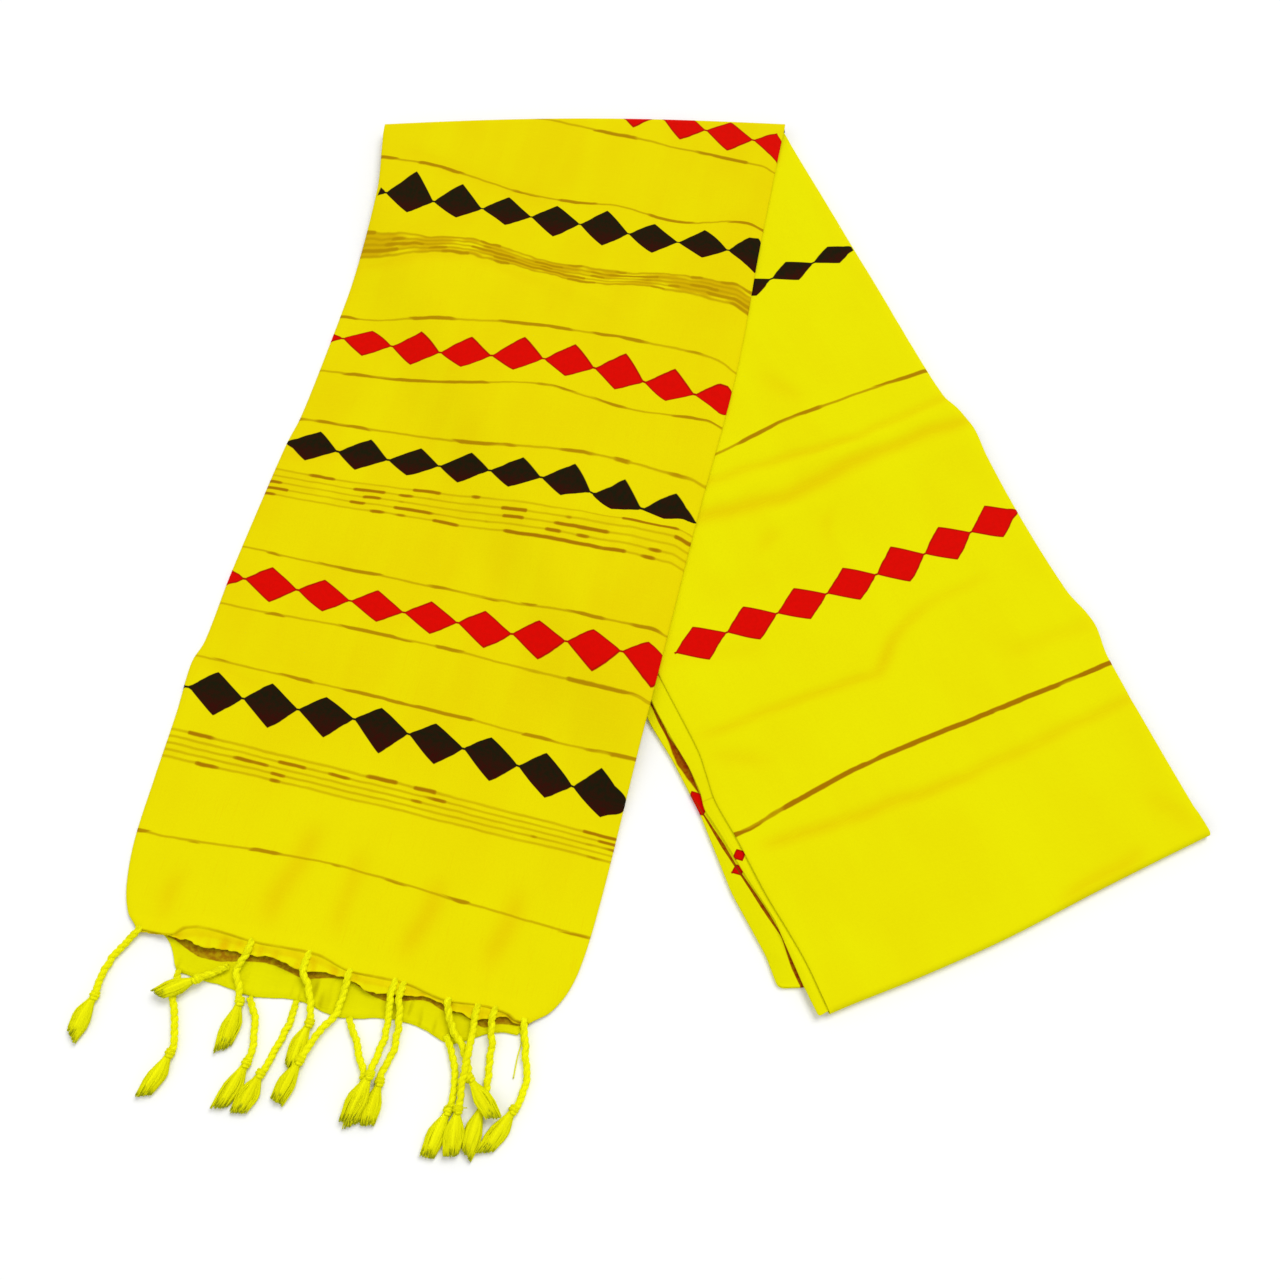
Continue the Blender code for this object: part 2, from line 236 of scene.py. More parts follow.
def wovenCotton(name, look):
    material, shader, base = newMaterial(name, {
        "Roughness": 0.85, "Specular IOR Level": 0.03, "Sheen Weight": 0.04, "Sheen Roughness": 0.5,
        "Sheen Tint": (1.0, 0.9, 0.02, 1),
    })
    cloth = base.attribute("clothPlace")
    rawAcross, rawDown, _ = cloth.parts()
    # the first tone is painted shading: shade in creases, ruffles and gathers, light where it is negative;
    # then the distance below the hem's seam, then the place in the hem's mouth
    paintedShadeAndLight, seam, mouth = base.attribute("clothTone").parts()
    wobble = cloth.grain(0.12, 2) - 0.5
    across = rawAcross + wobble * 1.2
    down = rawDown + (cloth.grain(0.022, 2) - 0.5) * look.get("wander", 3.0) + wobble * 0.8
    patchy = cloth.grain(0.012, 2).smooth(0.35, 0.65)
    streaks = (rawAcross * 4).joined(rawDown * 0.7).grain(0.009, 2).smooth(0.4, 0.65)
    slub = rawAcross.joined(rawDown * 24).grain(0.06, 2)
    slubUp = (rawAcross * 20).joined(rawDown).grain(0.05, 2)
    mottle = cloth.grain(0.35, 2).smooth(0.35, 0.65)
    colour, warmth = look["yellow"], 0.5
    if "foot" in look:
        # the cloth is brighter towards its hem
        foot = rawDown.smooth(410, 580)
        colour = foot.between(colour, look["foot"])
        warmth = 0.5 - foot * 0.35
    colour = (patchy * warmth).between(colour, look["warm"])
    colour = (streaks * 0.35).between(colour, look["pale"])
    # painted shade where the first tone is positive, painted light where it is negative
    colour = paintedShadeAndLight.share().between(colour, look["deep"])
    colour = (0 - paintedShadeAndLight).share().between(colour, look["pale"])
    colour = (slub.smooth(0.5, 0.75) * 0.3).between(colour, look["pale"])
    colour = (slubUp.smooth(0.55, 0.75) * 0.3).between(colour, look["warm"])
    if "lines" in look:
        dyed = across.joined(down * 3).grain(0.03, 1)
    for line in look.get("lines", []):
        mask, dash = weftLine(down, line, dyed)
        colour = dash.between(mask.between(colour, dyesAndShades["ochre"]), dyesAndShades["brown"])
    if "bands" in look:
        cloudy = across.joined(down * 1.5).grain(0.035, 2).smooth(0.36, 0.56)
        tangle = across.joined(down * 0.4).grain(0.045, 2) - 0.5
    for band in look.get("bands", []):
        mask, dash, wash = weftBand(across, down + tangle * band.get("tangle", 1.0), band, cloudy)
        colour = mask.between(wash.between(colour, dyesAndShades["honey"]), dyesAndShades["ochre"])
        colour = dash.between(colour, dyesAndShades["brown"])
    stitched = 0.0
    for row in look.get("rows", []):
        mask, rim = diamondRow(across, down, row)
        if row["dye"] == "black":
            lower = (down - row["at"]).smooth(-0.15 * row["tall"], 0.42 * row["tall"])
            turned = (lower * 0.65 + mottle * 0.35) * 0.85
        else:
            turned = (rim * 0.85).most(mottle * 0.12)
        inlay = turned.between(dyesAndShades[row["dye"] + "Heart"], dyesAndShades[row["dye"] + "Rim"])
        colour = mask.between(colour, inlay)
        stitched = mask.most(stitched)
    if "seamShare" in look:
        faint = rawAcross.joined(3.3).grain(0.07, 2).smooth(0.3, 0.65) * 0.6 + 0.4
        seamLine = (1 - (abs(seam + wobble * 0.9) - 0.5).smooth(-0.5, 0.9)) * faint
        # painted shade in a soft band just below the seam
        shadeBelowSeam = (1 - (abs(seam - 3.2) - 1.0).smooth(0.0, 2.0)) * faint * 0.5
        colour = (seamLine * look["seamShare"]).between(shadeBelowSeam.between(colour, look["deep"]), dyesAndShades["ochre"])
    if "mouthShadowShare" in look:
        # painted shadow in the mouth under the upper hem
        shadowInMouth = (mouth + wobble * 1.6).smooth(-0.4, 0.4) * (mottle * 0.25 + 0.75)
        colour = (shadowInMouth * look["mouthShadowShare"]).between(colour, dyesAndShades["shade"])
    for spot in look.get("gaps", []):
        # painted shadow in the deep places between layers
        below = rawDown - spot["down"]
        away = abs(rawAcross - spot["across"] - below * spot.get("lean", 0.0)) / spot["wide"]
        along = abs(below) / spot["long"]
        deep = 1 - (away + along + wobble * 0.3).smooth(0.7, 1.0)
        colour = (deep * (mottle * 0.1 + 0.9)).between(colour, dyesAndShades["gapShadow"])
    base.feed(shader.inputs["Base Color"], colour)
    turn = math.tau / strip["thread"]
    weave = (rawAcross * turn).maths("SINE") * (rawDown * turn).maths("SINE")
    height = weave * 0.5 + slub * 1.6 + slubUp * 1.2
    rough = (slub - 0.5) * 0.1 + 0.86
    if "rows" in look:
        rough = rough - stitched * 0.12
    relief = {"Strength": 0.35, "Distance": 0.12 * mm, "Height": height}
    bump = height.node("ShaderNodeBump", None, relief)
    base.feed(shader.inputs["Normal"], bump)
    base.feed(shader.inputs["Roughness"], rough)
    return material


# the strip lies in two legs of a V, measured in millimetres across and down each leg
strip = {
    "foldLeft": (-199.4, 363.7), "foldRight": (100.8, 364.6), "foldBulge": 5.5, "foldRadius": 2.1,
    "palluTurn": math.radians(12.8), "bodyTurn": math.radians(24.7),
    "stackTop": 7.2, "rest": 7.5, "faceFoot": 6.0, "slopeStart": 296, "slopeRun": 56, "palluTop": 2.7,
    "wall": 0.5, "thread": 0.9,
}


def held(value, low=0.0, high=1.0):
    return min(max(value, low), high)


def eased(t):
    t = held(t)
    return t * t * (3 - 2 * t)


def bell(t):
    return math.exp(-t * t)


def through(stations, where):
    # the value at this place, on a smooth line through (place, value) stations
    if where <= stations[0][0]:
        return stations[0][1]
    for index in range(len(stations) - 1):
        a, low = stations[index]
        b, high = stations[index + 1]
        if where > b:
            continue
        t = (where - a) / (b - a)
        before = stations[index - 1] if index else (2 * a - b, low)
        after = stations[index + 2] if index + 2 < len(stations) else (2 * b - a, high)
        slopeIn = (high - before[1]) / (b - before[0]) * (b - a)
        slopeOut = (after[1] - low) / (after[0] - a) * (b - a)
        return (low * (2 * t**3 - 3 * t * t + 1) + slopeIn * (t**3 - 2 * t * t + t)
                + high * (3 * t * t - 2 * t**3) + slopeOut * (t**3 - t * t))
    return stations[-1][1]


def palluPlan(across, down):
    turn = strip["palluTurn"]
    x = strip["foldLeft"][0] + across * math.cos(turn) - down * math.sin(turn)
    y = strip["foldLeft"][1] - across * math.sin(turn) - down * math.cos(turn)
    return x, y


def bodyPlan(across, down):
    turn = strip["bodyTurn"]
    x = strip["foldRight"][0] + across * math.cos(turn) + down * math.sin(turn)
    y = strip["foldRight"][1] + across * math.sin(turn) - down * math.cos(turn)
    return x, y


def restHeight(x, y):
    turn = strip["bodyTurn"]
    across = (x - strip["foldRight"][0]) * math.cos(turn) + (y - strip["foldRight"][1]) * math.sin(turn)
    return strip["rest"] * (1 - eased((-across - strip["slopeStart"]) / strip["slopeRun"]))


def creased(creases, across, down):
    # (height, painted shading) of soft troughs and ridges, each from one place on the leg to another;
    # painted shade along a trough, painted light where it is negative
    height, paintedShading = 0.0, 0.0
    for (a, b), (c, d), wide, high, deep in creases:
        length = math.hypot(c - a, d - b)
        alongX, alongY = (c - a) / length, (d - b) / length
        run = (across - a) * alongX + (down - b) * alongY
        away = (across - a) * alongY - (down - b) * alongX
        if abs(away) > wide * 4:
            continue
        ends = eased((run + 12) / 24) * eased((length + 12 - run) / 24)
        bend = (away + 2.5 * noise.noise(Vector((run * 0.035, a, b)))) / wide
        height += high * bell(bend) * ends
        paintedShading += deep * bell(bend * 1.15) * ends
    return height, paintedShading


def soften(x, y, size, seed):
    return noise.noise(Vector((x / size, y / size, seed)))


def layCloth(name, acrossSteps, downSteps, place, wall, slot, material, *nodes):
    # a grid put where place(acrossStep, downStep) says, which also gives its cloth coordinates and tones
    # (painted shading, then the places of the seam and the hem's mouth)
    points, clothPlaces, clothTones = [], [], []
    for downStep in downSteps:
        for acrossStep in acrossSteps:
            point, clothPlace, tones = place(acrossStep, downStep)
            points.append([value * mm for value in point])
            clothPlaces += [clothPlace[0], clothPlace[1], 0.0]
            clothTones += tones
    count = len(acrossSteps)
    faces = []
    for row in range(len(downSteps) - 1):
        for column in range(count - 1):
            first = row * count + column
            faces.append((first, first + count, first + count + 1, first + 1))
    return clothObject(name, points, faces, clothPlaces, clothTones, wall, slot, material, *nodes)


def clothObject(name, points, faces, clothPlaces, clothTones, wall, slot, material, *nodes):
    # one piece from its mesh; it stands for these nodes of the part
    mesh = bpy.data.meshes.new(name)
    mesh.from_pydata(points, [], faces)
    mesh.attributes.new("clothPlace", "FLOAT_VECTOR", "POINT").data.foreach_set("vector", clothPlaces)
    mesh.attributes.new("clothTone", "FLOAT_VECTOR", "POINT").data.foreach_set("vector", clothTones)
    mesh.polygons.foreach_set("use_smooth", [True] * len(mesh.polygons))
    piece = bpy.data.objects.new(name, mesh)
    scene.collection.objects.link(piece)
    if wall:
        solid = piece.modifiers.new("wall", "SOLIDIFY")
        solid.thickness = wall * mm
        solid.offset = -1
    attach(piece, "root")
    piece.data.materials.append(material)
    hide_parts(*nodes)
    return piece


def evenly(low, high, count):
    return [low + (high - low) * index / count for index in range(count + 1)]


def withCurls(leftSteps, flatSteps, rightSteps):
    # (place across, how far round its curl) from the left edge over the flat to the right edge
    curlLeft = [(0.0, t) for t in evenly(1, 0, leftSteps)]
    flat = [(u, 0.0) for u in evenly(0, 1, flatSteps)]
    curlRight = [(1.0, t) for t in evenly(0, 1, rightSteps)]
    return [*curlLeft[:-1], *flat, *curlRight[1:]]


# the pallu leg: the decorated end of the saree
palluShape = {
    "left": ((-60, -1), (0, 0), (58, 11), (125, 14.5), (190, 14), (250, 12), (272, 9), (300, 7), (376, 3),
        (425, 2), (440, -1.5), (475, 0.5), (520, 1.5), (560, 3), (588, 8), (604, 15), (612, 23)),
    "right": ((-67, 293), (52, 296), (125, 299.5), (177, 300), (270, 297), (378, 295.5), (470, 294),
        (535, 293), (570, 291), (590, 287), (605, 279), (615, 268)),
    # the smooth hem line, then how far the crinkled heading hangs below it, and the mouth below that,
    # painted dark as its shadow
    "hemLine": ((24, 612), (42, 611), (55, 605), (68, 602.5), (100, 604), (136, 603), (156, 608),
        (190, 607.5), (212, 611), (224, 612), (243, 610), (260, 611.5), (270, 614.5)),
    "headingDeep": ((24, 0.6), (42, 1), (62, 11), (76, 11), (100, 7), (127, 11), (140, 9.5), (156, 4),
        (177, 10), (190, 8), (212, 2), (228, 4), (246, 7.5), (262, 1), (270, 0.6)),
    "mouthTall": ((40, -0.6), (57, 3.5), (73, 6), (94, 4.5), (114, 2.5), (132, 4), (147, 1.3), (172, 1.3),
        (187, 3), (205, 1.2), (216, 4), (226, 1.6), (242, 4), (250, 1.6), (262, 3.5), (268, 1)),
    "underHem": ((36, 612), (45, 620), (55, 630), (87, 633), (103, 635), (130, 631), (157, 635),
        (186, 629.5), (206, 630), (226, 635), (249, 623.5), (268, 621.5)),
    "upperTassels": (24, 94, 130, 157, 185, 190, 220, 236, 248, 266),
    "crown": 0.9, "lip": 0.6, "rightCurl": 9.0, "leftCurl": 6.0,
    "foldWide": 293, "hemStart": 24, "hemWide": 244,
    # from, to, half width, height, tone (painted shade along the crease, painted light where negative)
    "creases": [
        ((111, 530), (98, 588), 9, -0.9, 0.5), ((195, 546), (187, 590), 8, -0.8, 0.55),
        ((244, 541), (237, 585), 8, -0.8, 0.5), ((38, 574), (36, 600), 7, -0.6, 0.4),
        ((143, 540), (141, 586), 7, -0.6, 0.4), ((71, 548), (72, 588), 10, 0.8, 0.0),
        ((157, 530), (164, 588), 9, 0.7, 0.0), ((218, 530), (213, 590), 9, 0.7, 0.0),
        ((266, 528), (265, 580), 8, 0.6, 0.0), ((8, 283), (60, 268), 6, -0.5, 0.3),
        ((0, 437), (46, 446), 6, -0.6, 0.2), ((290, 300), (296, 430), 5, 0.4, 0.0),
        ((180, 300), (176, 440), 9, -0.35, 0.15), ((210, 298), (214, 372), 9, 0.3, 0.0),
        ((20, 122), (92, 98), 6, -0.5, 0.35), ((92, 100), (150, 112), 6, -0.45, 0.2),
        ((150, 108), (210, 122), 6, 0.5, 0.0), ((130, 96), (200, 102), 4, -0.5, 0.2),
        ((20, 20), (140, 46), 9, -0.3, 0.2), ((252, 300), (250, 350), 8, 0.4, 0.0),
    ],
}


# each woven row: its place in the cloth, and where it lies on the leg as (across, down)
palluRows = [
    {"dye": "red", "at": -47, "start": 17.5, "pitch": 36.4, "tall": 23, "skew": 0.1, "left": 160,
     "lies": ((165, -57), (199, -55), (233, -48), (271, -47), (290, -48))},
    {"dye": "black", "at": 54, "start": 18.8, "pitch": 36.4, "tall": 31, "skew": 0.1, "left": 15,
     "lies": ((10, 61), (73, 60), (109, 58.5), (147, 57.5), (182, 56.5), (218, 57), (255, 55), (290, 55))},
    {"dye": "red", "at": 187, "start": 22, "pitch": 36.2, "tall": 24.5, "skew": -0.05,
     "lies": ((10, 184), (40, 182), (76, 184), (112, 182), (147, 176), (184, 172.5), (220, 173.5),
         (257, 178), (290, 178))},
    {"dye": "black", "at": 269.5, "start": 9.5, "pitch": 35.7, "tall": 21, "skew": -0.2,
     "lies": ((15, 272), (63, 271), (98, 269), (134, 266.5), (169, 265.5), (205, 264.5), (242, 272.5),
         (290, 271))},
    {"dye": "red", "at": 377, "start": 13.6, "pitch": 36.5, "tall": 24, "skew": 0.22,
     "lies": ((13, 377), (150, 376.5), (233, 375), (284, 374.5))},
    {"dye": "black", "at": 459, "start": 3, "pitch": 36.6, "tall": 27.5, "skew": 0.22,
     "lies": ((3, 457.5), (60, 457), (112, 455), (150, 456.5), (206, 460), (250, 465.5), (294, 473))},
]
palluLines = [
    {"at": -29, "least": 0.6, "lies": ((115, -31), (200, -28), (290, -24))},
    {"at": 32, "least": 0.6, "lies": ((9, 29), (43, 28), (76, 32), (114, 38), (156, 39), (186, 35),
        (236, 39), (276, 28))},
    {"at": 165, "least": 0.5, "lies": ((15, 166), (50, 163), (117, 151), (162, 146), (211, 144), (273, 144),
        (298, 150))},
    {"at": 212, "lies": ((14, 212), (49, 209), (114, 204), (169, 193), (199, 195), (241, 199), (278, 196))},
    {"at": 252, "lies": ((15, 252), (80, 249), (150, 246), (215, 239), (290, 242))},
    {"at": 355, "lies": ((0, 355), (300, 355))},
    {"at": 396, "least": 0.5, "lies": ((15, 397), (150, 395), (285, 402))},
    {"at": 437, "least": 0.5, "lies": ((15, 436), (150, 438), (290, 443))},
    {"at": 552, "lies": ((9, 554), (125, 548), (199, 552), (291, 557))},
]
palluBands = [
    {"at": 94, "step": 5.4, "lines": 5, "wash": 1.0, "least": 0.45, "half": 0.8, "swell": 0.5, "soft": 1.3,
     "dark": 0.25, "tangle": 9},
    {"at": 290, "step": 5.2, "lines": 5, "least": 0.3, "swell": 0.4},
    {"at": 487, "step": 4.9, "lines": 5, "least": 0.35, "half": 0.7, "swell": 0.3, "soft": 0.9,
     "dashes": 0.58},
]
bandEdges = [
    {"at": 93, "lies": ((12, 93), (49, 92), (85, 86.5), (104, 87), (143, 92), (173, 92), (202, 91.5),
        (244, 83.5), (295, 82.5))},
    {"at": 117, "lies": ((17, 117), (36, 113), (64, 104), (92, 99), (123, 102), (183, 104.5), (217, 99),
        (254, 97.5), (298, 101))},
    {"at": 290, "lies": ((15, 294), (150, 286), (285, 280))},
    {"at": 311, "lies": ((15, 313), (150, 307.5), (285, 306))},
    {"at": 487, "lies": ((15, 487), (150, 490), (285, 494))},
    {"at": 507, "lies": ((15, 505), (150, 506.5), (285, 508.5))},
]
charted = {}  # each chart's places, kept once they are worked out


def clothRow(chart, rows, across, down):
    # which row of the cloth lies at this place on a leg
    key = (chart, round(across * 2))
    if key not in charted:
        inOrder = sorted(rows, key=lambda row: row["at"])
        charted[key] = [(through(row["lies"], key[1] / 2), row["at"]) for row in inOrder]
    stations = charted[key]
    if down <= stations[0][0]:
        return down + stations[0][1] - stations[0][0]
    for (low, lowAt), (high, highAt) in zip(stations, stations[1:]):
        if down <= high:
            return lowAt + (highAt - lowAt) * (down - low) / (high - low)
    return down + stations[-1][1] - stations[-1][0]


def foldDown(across):
    bulge = strip["foldBulge"] * math.sin(math.pi * held(across / palluShape["foldWide"]))
    return -across * math.tan(strip["palluTurn"]) - bulge + strip["foldRadius"] - 1.2


def palluPlace(u, v):
    # v runs from 0 at the fold to 1 at the hem, and on to 2 at the edge of the heading
    top = foldDown(palluShape["foldWide"] * u)
    hemPlace = palluShape["hemStart"] + palluShape["hemWide"] * u
    hem = through(palluShape["hemLine"], hemPlace)
    down = top + (hem - top) * min(v, 1)
    if v > 1:
        down += through(palluShape["headingDeep"], hemPlace) * (v - 1)
    left = through(palluShape["left"], down)
    right = through(palluShape["right"], down)
    return left, right, left + (right - left) * u, down


def scallop(tassels, across, wide, deep):
    # how far a hem is drawn down at the tassels' roots
    return deep * max(math.exp(-abs((across - root) / wide) ** 1.3) for root in tassels)


def palluRow(across, down, right):
    # the rows turn down over the last stretch before the folded right edge
    bend = 3.5 * eased((across - right + 16) / 16) ** 2 * (1 - eased((down - 400) / 60))
    return clothRow("pallu", [*palluRows, *palluLines, *bandEdges], across, down - bend)


def faceTop(across, down, side, v):
    # the height of the pallu's face, before its hem and its side folds, and its painted shading from the
    # creases
    x, y = palluPlan(across, down)
    crown = palluShape["crown"] * math.sin(math.pi * held(side, 0.04, 0.96)) ** 0.6
    crown += 0.45 * soften(x, y, 46, 1.3) + 0.5 * soften(x, y, 120, 4.1)
    height, paintedShading = creased(palluShape["creases"], across, down)
    return restHeight(x, y) + strip["palluTop"] + crown * eased(v / 0.06) + height, paintedShading


def palluFacePoint(acrossStep, downStep):
    side, turn = acrossStep
    v = max(downStep, 0.0)
    left, right, across, down = palluPlace(held(side), v)
    fade = eased(v / 0.045) * (1 - 0.55 * eased((v - 0.95) / 0.05))
    angle = math.pi * turn * fade
    widest = math.sin(min(math.pi * fade, math.pi / 2))
    curl = palluShape["rightCurl"] if side > 0.5 else palluShape["leftCurl"]
    flatLeft = left + palluShape["leftCurl"] * widest
    flatRight = right - palluShape["rightCurl"] * widest
    inner = flatLeft + (flatRight - flatLeft) * held(side)
    outward = curl * math.sin(angle) if angle < math.pi / 2 else curl - 4 * (1 - math.sin(angle))
    across = inner + (outward if side > 0.5 else -outward) * (turn > 0)
    top, paintedShading = faceTop(across, down, side, v)
    drawn = scallop(palluShape["upperTassels"], across, 5.0, 1.0)
    opening = eased((v - 0.95) / 0.07) * (1 - 0.8 * drawn)
    wave = 1.5 + 0.8 * math.cos(across * math.tau / 61 + 0.4) + 0.6 * soften(across, 0, 17, 8.5)
    top += opening * wave
    lip = 0.25 + palluShape["lip"] * eased((v - 0.985) / 0.012)
    if v > 1:
        lip -= palluShape["lip"] * 1.5 * eased((v - 1) / 0.08)
        ruffle = soften(across, down * 0.35, 4.5, 9.1) * eased((v - 1.05) / 0.4)
        lip += 1.3 * ruffle + 0.35 * eased((v - 1.75) / 0.2) - 0.3 * eased((v - 1.2) / 0.4)
        # painted shade in the ruffles' troughs and painted light on their crests
        paintedShading -= 1.4 * ruffle - 0.05
    top += lip
    x, y = palluPlan(across, down)
    low = restHeight(x, y) + 0.3
    z = top - (top - low) * (1 - math.cos(angle)) / 2
    clothAcross = inner + (curl * turn * 1.6 if side > 0.5 else -curl * turn * 1.6)
    clothDown = palluRow(across, down, right)
    if v > 1:
        # the heading's edge is crinkled, and drawn down where a cord leaves it
        crinkle = 1.3 * soften(across, 3, 6, 2.2) + 0.9 * soften(across, 8, 2.4, 5.2)
        x, y = palluPlan(across, down + (drawn * 1.0 - 0.3 + crinkle) * (v - 1) ** 2)
    hemPlace = palluShape["hemStart"] + palluShape["hemWide"] * held(side)
    hem = through(palluShape["hemLine"], hemPlace)
    if downStep < 0:
        roll = min(-downStep, 1.0) * math.pi
        middle = strip["faceFoot"] + strip["foldRadius"]
        tall = strip["foldRadius"]
        y += (tall + 0.5) * math.sin(roll) - max(-downStep - 1, 0) * 12
        z = middle + tall * math.cos(roll)
        clothDown -= -downStep * 6.6
    return (x, y, z), (clothAcross, clothDown), (paintedShading, down - hem - 0.1, farAway)


def makePalluFace(material):
    rolls = [-1.25, *[-t for t in evenly(1, 0, 12)]]
    downs = [*evenly(0.004, 0.06, 18), *evenly(0.065, 0.94, 170), *evenly(0.9445, 1, 32)]
    heading = [1.04, *evenly(1.08, 2, 12)]
    return layCloth("palluFace", withCurls(10, 150, 12), [*rolls, *downs, *heading], palluFacePoint,
                    strip["wall"], "cotton_face", material, "pallu_face")


def palluUnderPoint(acrossStep, downStep):
    u, v = acrossStep, min(downStep, 1.0)
    left, right, across, down = palluPlace(u, v)
    past = max(downStep - 1, 0)
    near = eased((v - 0.93) / 0.07)
    middle = 151
    pulled = 0.09 * near + 0.11 * past ** 1.3
    inset = 6 * (1 - 2 * u)
    if across > middle:
        pulled *= 0.22
        inset *= 1 - near
    across = middle + (across - middle) * (1 - pulled) + inset
    if past > 0:
        down += (max(through(palluShape["underHem"], across), down + 1) - down) * past
    edge = past ** 3 * (0.5 * soften(across, 3, 5, 6.2))
    x, y = palluPlan(across, down + edge)
    gathers = max(soften(across, down * 0.2, 3.4, 3.3), 0)
    gathers = gathers * max(soften(across, 7, 30, 5.1) + 0.15, 0) * 2.6 * past
    ripple = 0.7 * soften(across, down, 22, 5.5) * near
    z = restHeight(x, y) + 1.0 + near * 0.3 + ripple + 0.5 * bell((past - 0.88) / 0.06) - gathers * 0.6
    z -= 0.6 * eased((past - 0.94) / 0.06)
    high = through(palluShape["hemLine"], across) + through(palluShape["headingDeep"], across)
    low = high + through(palluShape["mouthTall"], across)
    # where the mouth lies, for its painted shadow
    mouth = min(down - high + 5, low - down) if 40 < across < 270 else farAway
    # painted shade in the gathers, and painted light along the under hem's rolled edge
    paintedShading = min(gathers, 1) - 0.6 * eased((past - 0.9) / 0.1)
    return (x, y, max(z, 0.62)), (across, down), (paintedShading, farAway, mouth)


def makePalluUnder(material):
    downs = [*evenly(0.006, 0.94, 80), *evenly(0.945, 1.0, 12), *evenly(1.03, 2, 36)]
    return layCloth("palluUnder", evenly(0, 1, 240), downs, palluUnderPoint, strip["wall"], "cotton_shade",
                    material, "pallu_under")


palluCotton = wovenCotton("palluCotton", {
    "yellow": (0.785, 0.665, 0.0), "warm": (0.765, 0.60, 0.0),
    # "deep" is painted shade for the creases, the heading's ruffles and below its seam; "pale" is random
    # paleness and also painted light on ridges
    "pale": (0.80, 0.725, 0.0), "deep": (0.74, 0.51, 0.0),
    "foot": (0.792, 0.722, 0.0),
    "rows": palluRows, "lines": palluLines, "bands": palluBands, "seamShare": 0.7,
})
underCotton = wovenCotton("underCotton", {
    "yellow": (0.74, 0.715, 0.0), "warm": (0.72, 0.65, 0.0),
    # "deep" is painted shade in the gathers; "pale" is random paleness and also painted light along the
    # under hem's rolled edge
    "pale": (0.80, 0.79, 0.0), "deep": (0.42, 0.36, 0.0),
    "mouthShadowShare": 0.92,
})
palluFace = makePalluFace(palluCotton)
palluUnder = makePalluUnder(underCotton)
print("pallu leg laid")


# the body leg: the plain length of the saree, folded back at its foot
bodyShape = {
    "right": ((0, -3), (122, -4.5), (200, -5.5), (252, -4.5), (272, 0.5), (286, 2), (310, -1), (357, -3.5),
        (418, -3), (438, 1), (448, 1.5), (470, -3), (597, -7)),
    "left": ((-125, -272), (360, -272), (416, -271), (432, -273), (450, -275.5), (477, -274), (516, -273),
        (539, -271), (562, -269.5), (594, -270)),
    "bottom": ((-272, 595), (-210, 598.5), (-152, 600), (-80, 598), (-7, 597)),
    # from, to, half width, height, tone (painted shade along the crease, painted light where negative)
    "creases": [
        ((-196, 246), (-138, 252), 4, -0.5, 0.45), ((-138, 252), (-73, 259), 4, -0.6, 0.6),
        ((-73, 259), (4, 256), 4, -0.6, 0.45), ((-204, 269), (-137, 280), 7, -0.9, 0.75),
        ((-137, 280), (-73, 274), 7, -1.0, 0.8), ((-73, 274), (4, 278), 6, -0.9, 0.7),
        ((-180, 261), (2, 266), 4, 0.5, -0.2), ((-160, 293), (-4, 292), 6, 0.4, -0.2),
        ((-150, 240), (-4, 238), 8, 0.35, 0.0), ((-263, 409), (-212, 412), 4, -0.5, 0.5),
        ((-212, 412), (-146, 417), 4, -0.7, 0.6), ((-144, 418), (-122, 400), 5, -0.9, 0.75),
        ((-122, 400), (-96, 390), 5, -0.7, 0.5), ((-96, 390), (-48, 387), 5, -0.4, 0.3),
        ((-116, 428), (-106, 404), 6, 0.6, -0.2), ((-259, 489), (-192, 497), 5, -0.7, 0.65),
        ((-192, 497), (-124, 502), 5, -0.7, 0.65), ((-124, 502), (2, 500), 5, -0.6, 0.5),
        ((-158, 299), (-174, 309), 6, -0.4, 0.4), ((-118, 300), (-128, 318), 5, -0.3, 0.3),
        ((-60, 440), (6, 445), 7, -0.5, 0.25), ((-262, 352), (-200, 372), 9, -0.4, 0.2),
        ((-112, 190), (-96, 214), 8, -0.4, 0.3), ((-52, 588), (-110, 594), 5, -0.3, 0.5),
        ((-110, 330), (-70, 342), 10, 0.3, 0.0), ((-220, 320), (-150, 332), 12, -0.3, 0.1),
        ((-240, 540), (-120, 560), 14, 0.3, -0.1), ((-250, 552), (-225, 590), 10, 0.3, -0.2),
        ((-262, 425), (-236, 440), 7, -0.4, 0.35), ((-30, 560), (-12, 590), 8, -0.3, 0.3),
    ],
    "crown": 0.8, "wide": 272,
    # how far each side curls out, in which angle, and how far it drops
    "rightCurl": 6.0, "rightTurn": math.radians(150), "rightDrop": 3.6,
    "leftCurl": 2.6, "leftTurn": math.radians(120), "leftDrop": 1.0,
}


bodyRows = [
    {"dye": "black", "at": 120, "start": -3.5, "pitch": 33.6, "tall": 17, "skew": 0.1, "lies": ((-60, 119),
        (0, 118.5))},
    {"dye": "red", "at": 354.5, "start": -4, "pitch": 36, "tall": 26.5, "left": -256.5,
     "lies": ((-250, 350.5), (-201, 353), (-148, 355), (-94, 356.5), (-58, 356), (-20, 354))},
]
bodyLines = [
    {"at": 230, "half": 0.85, "least": 0.75, "dashes": 0.45, "lies": ((-166, 231), (-118, 227), (-72, 228),
        (-7, 232))},
    {"at": 471.5, "half": 1.0, "least": 0.85, "dark": 0.9, "dashes": 0.42,
     "lies": ((-264, 475), (-190, 468.5), (-120, 470), (-5, 474))},
]


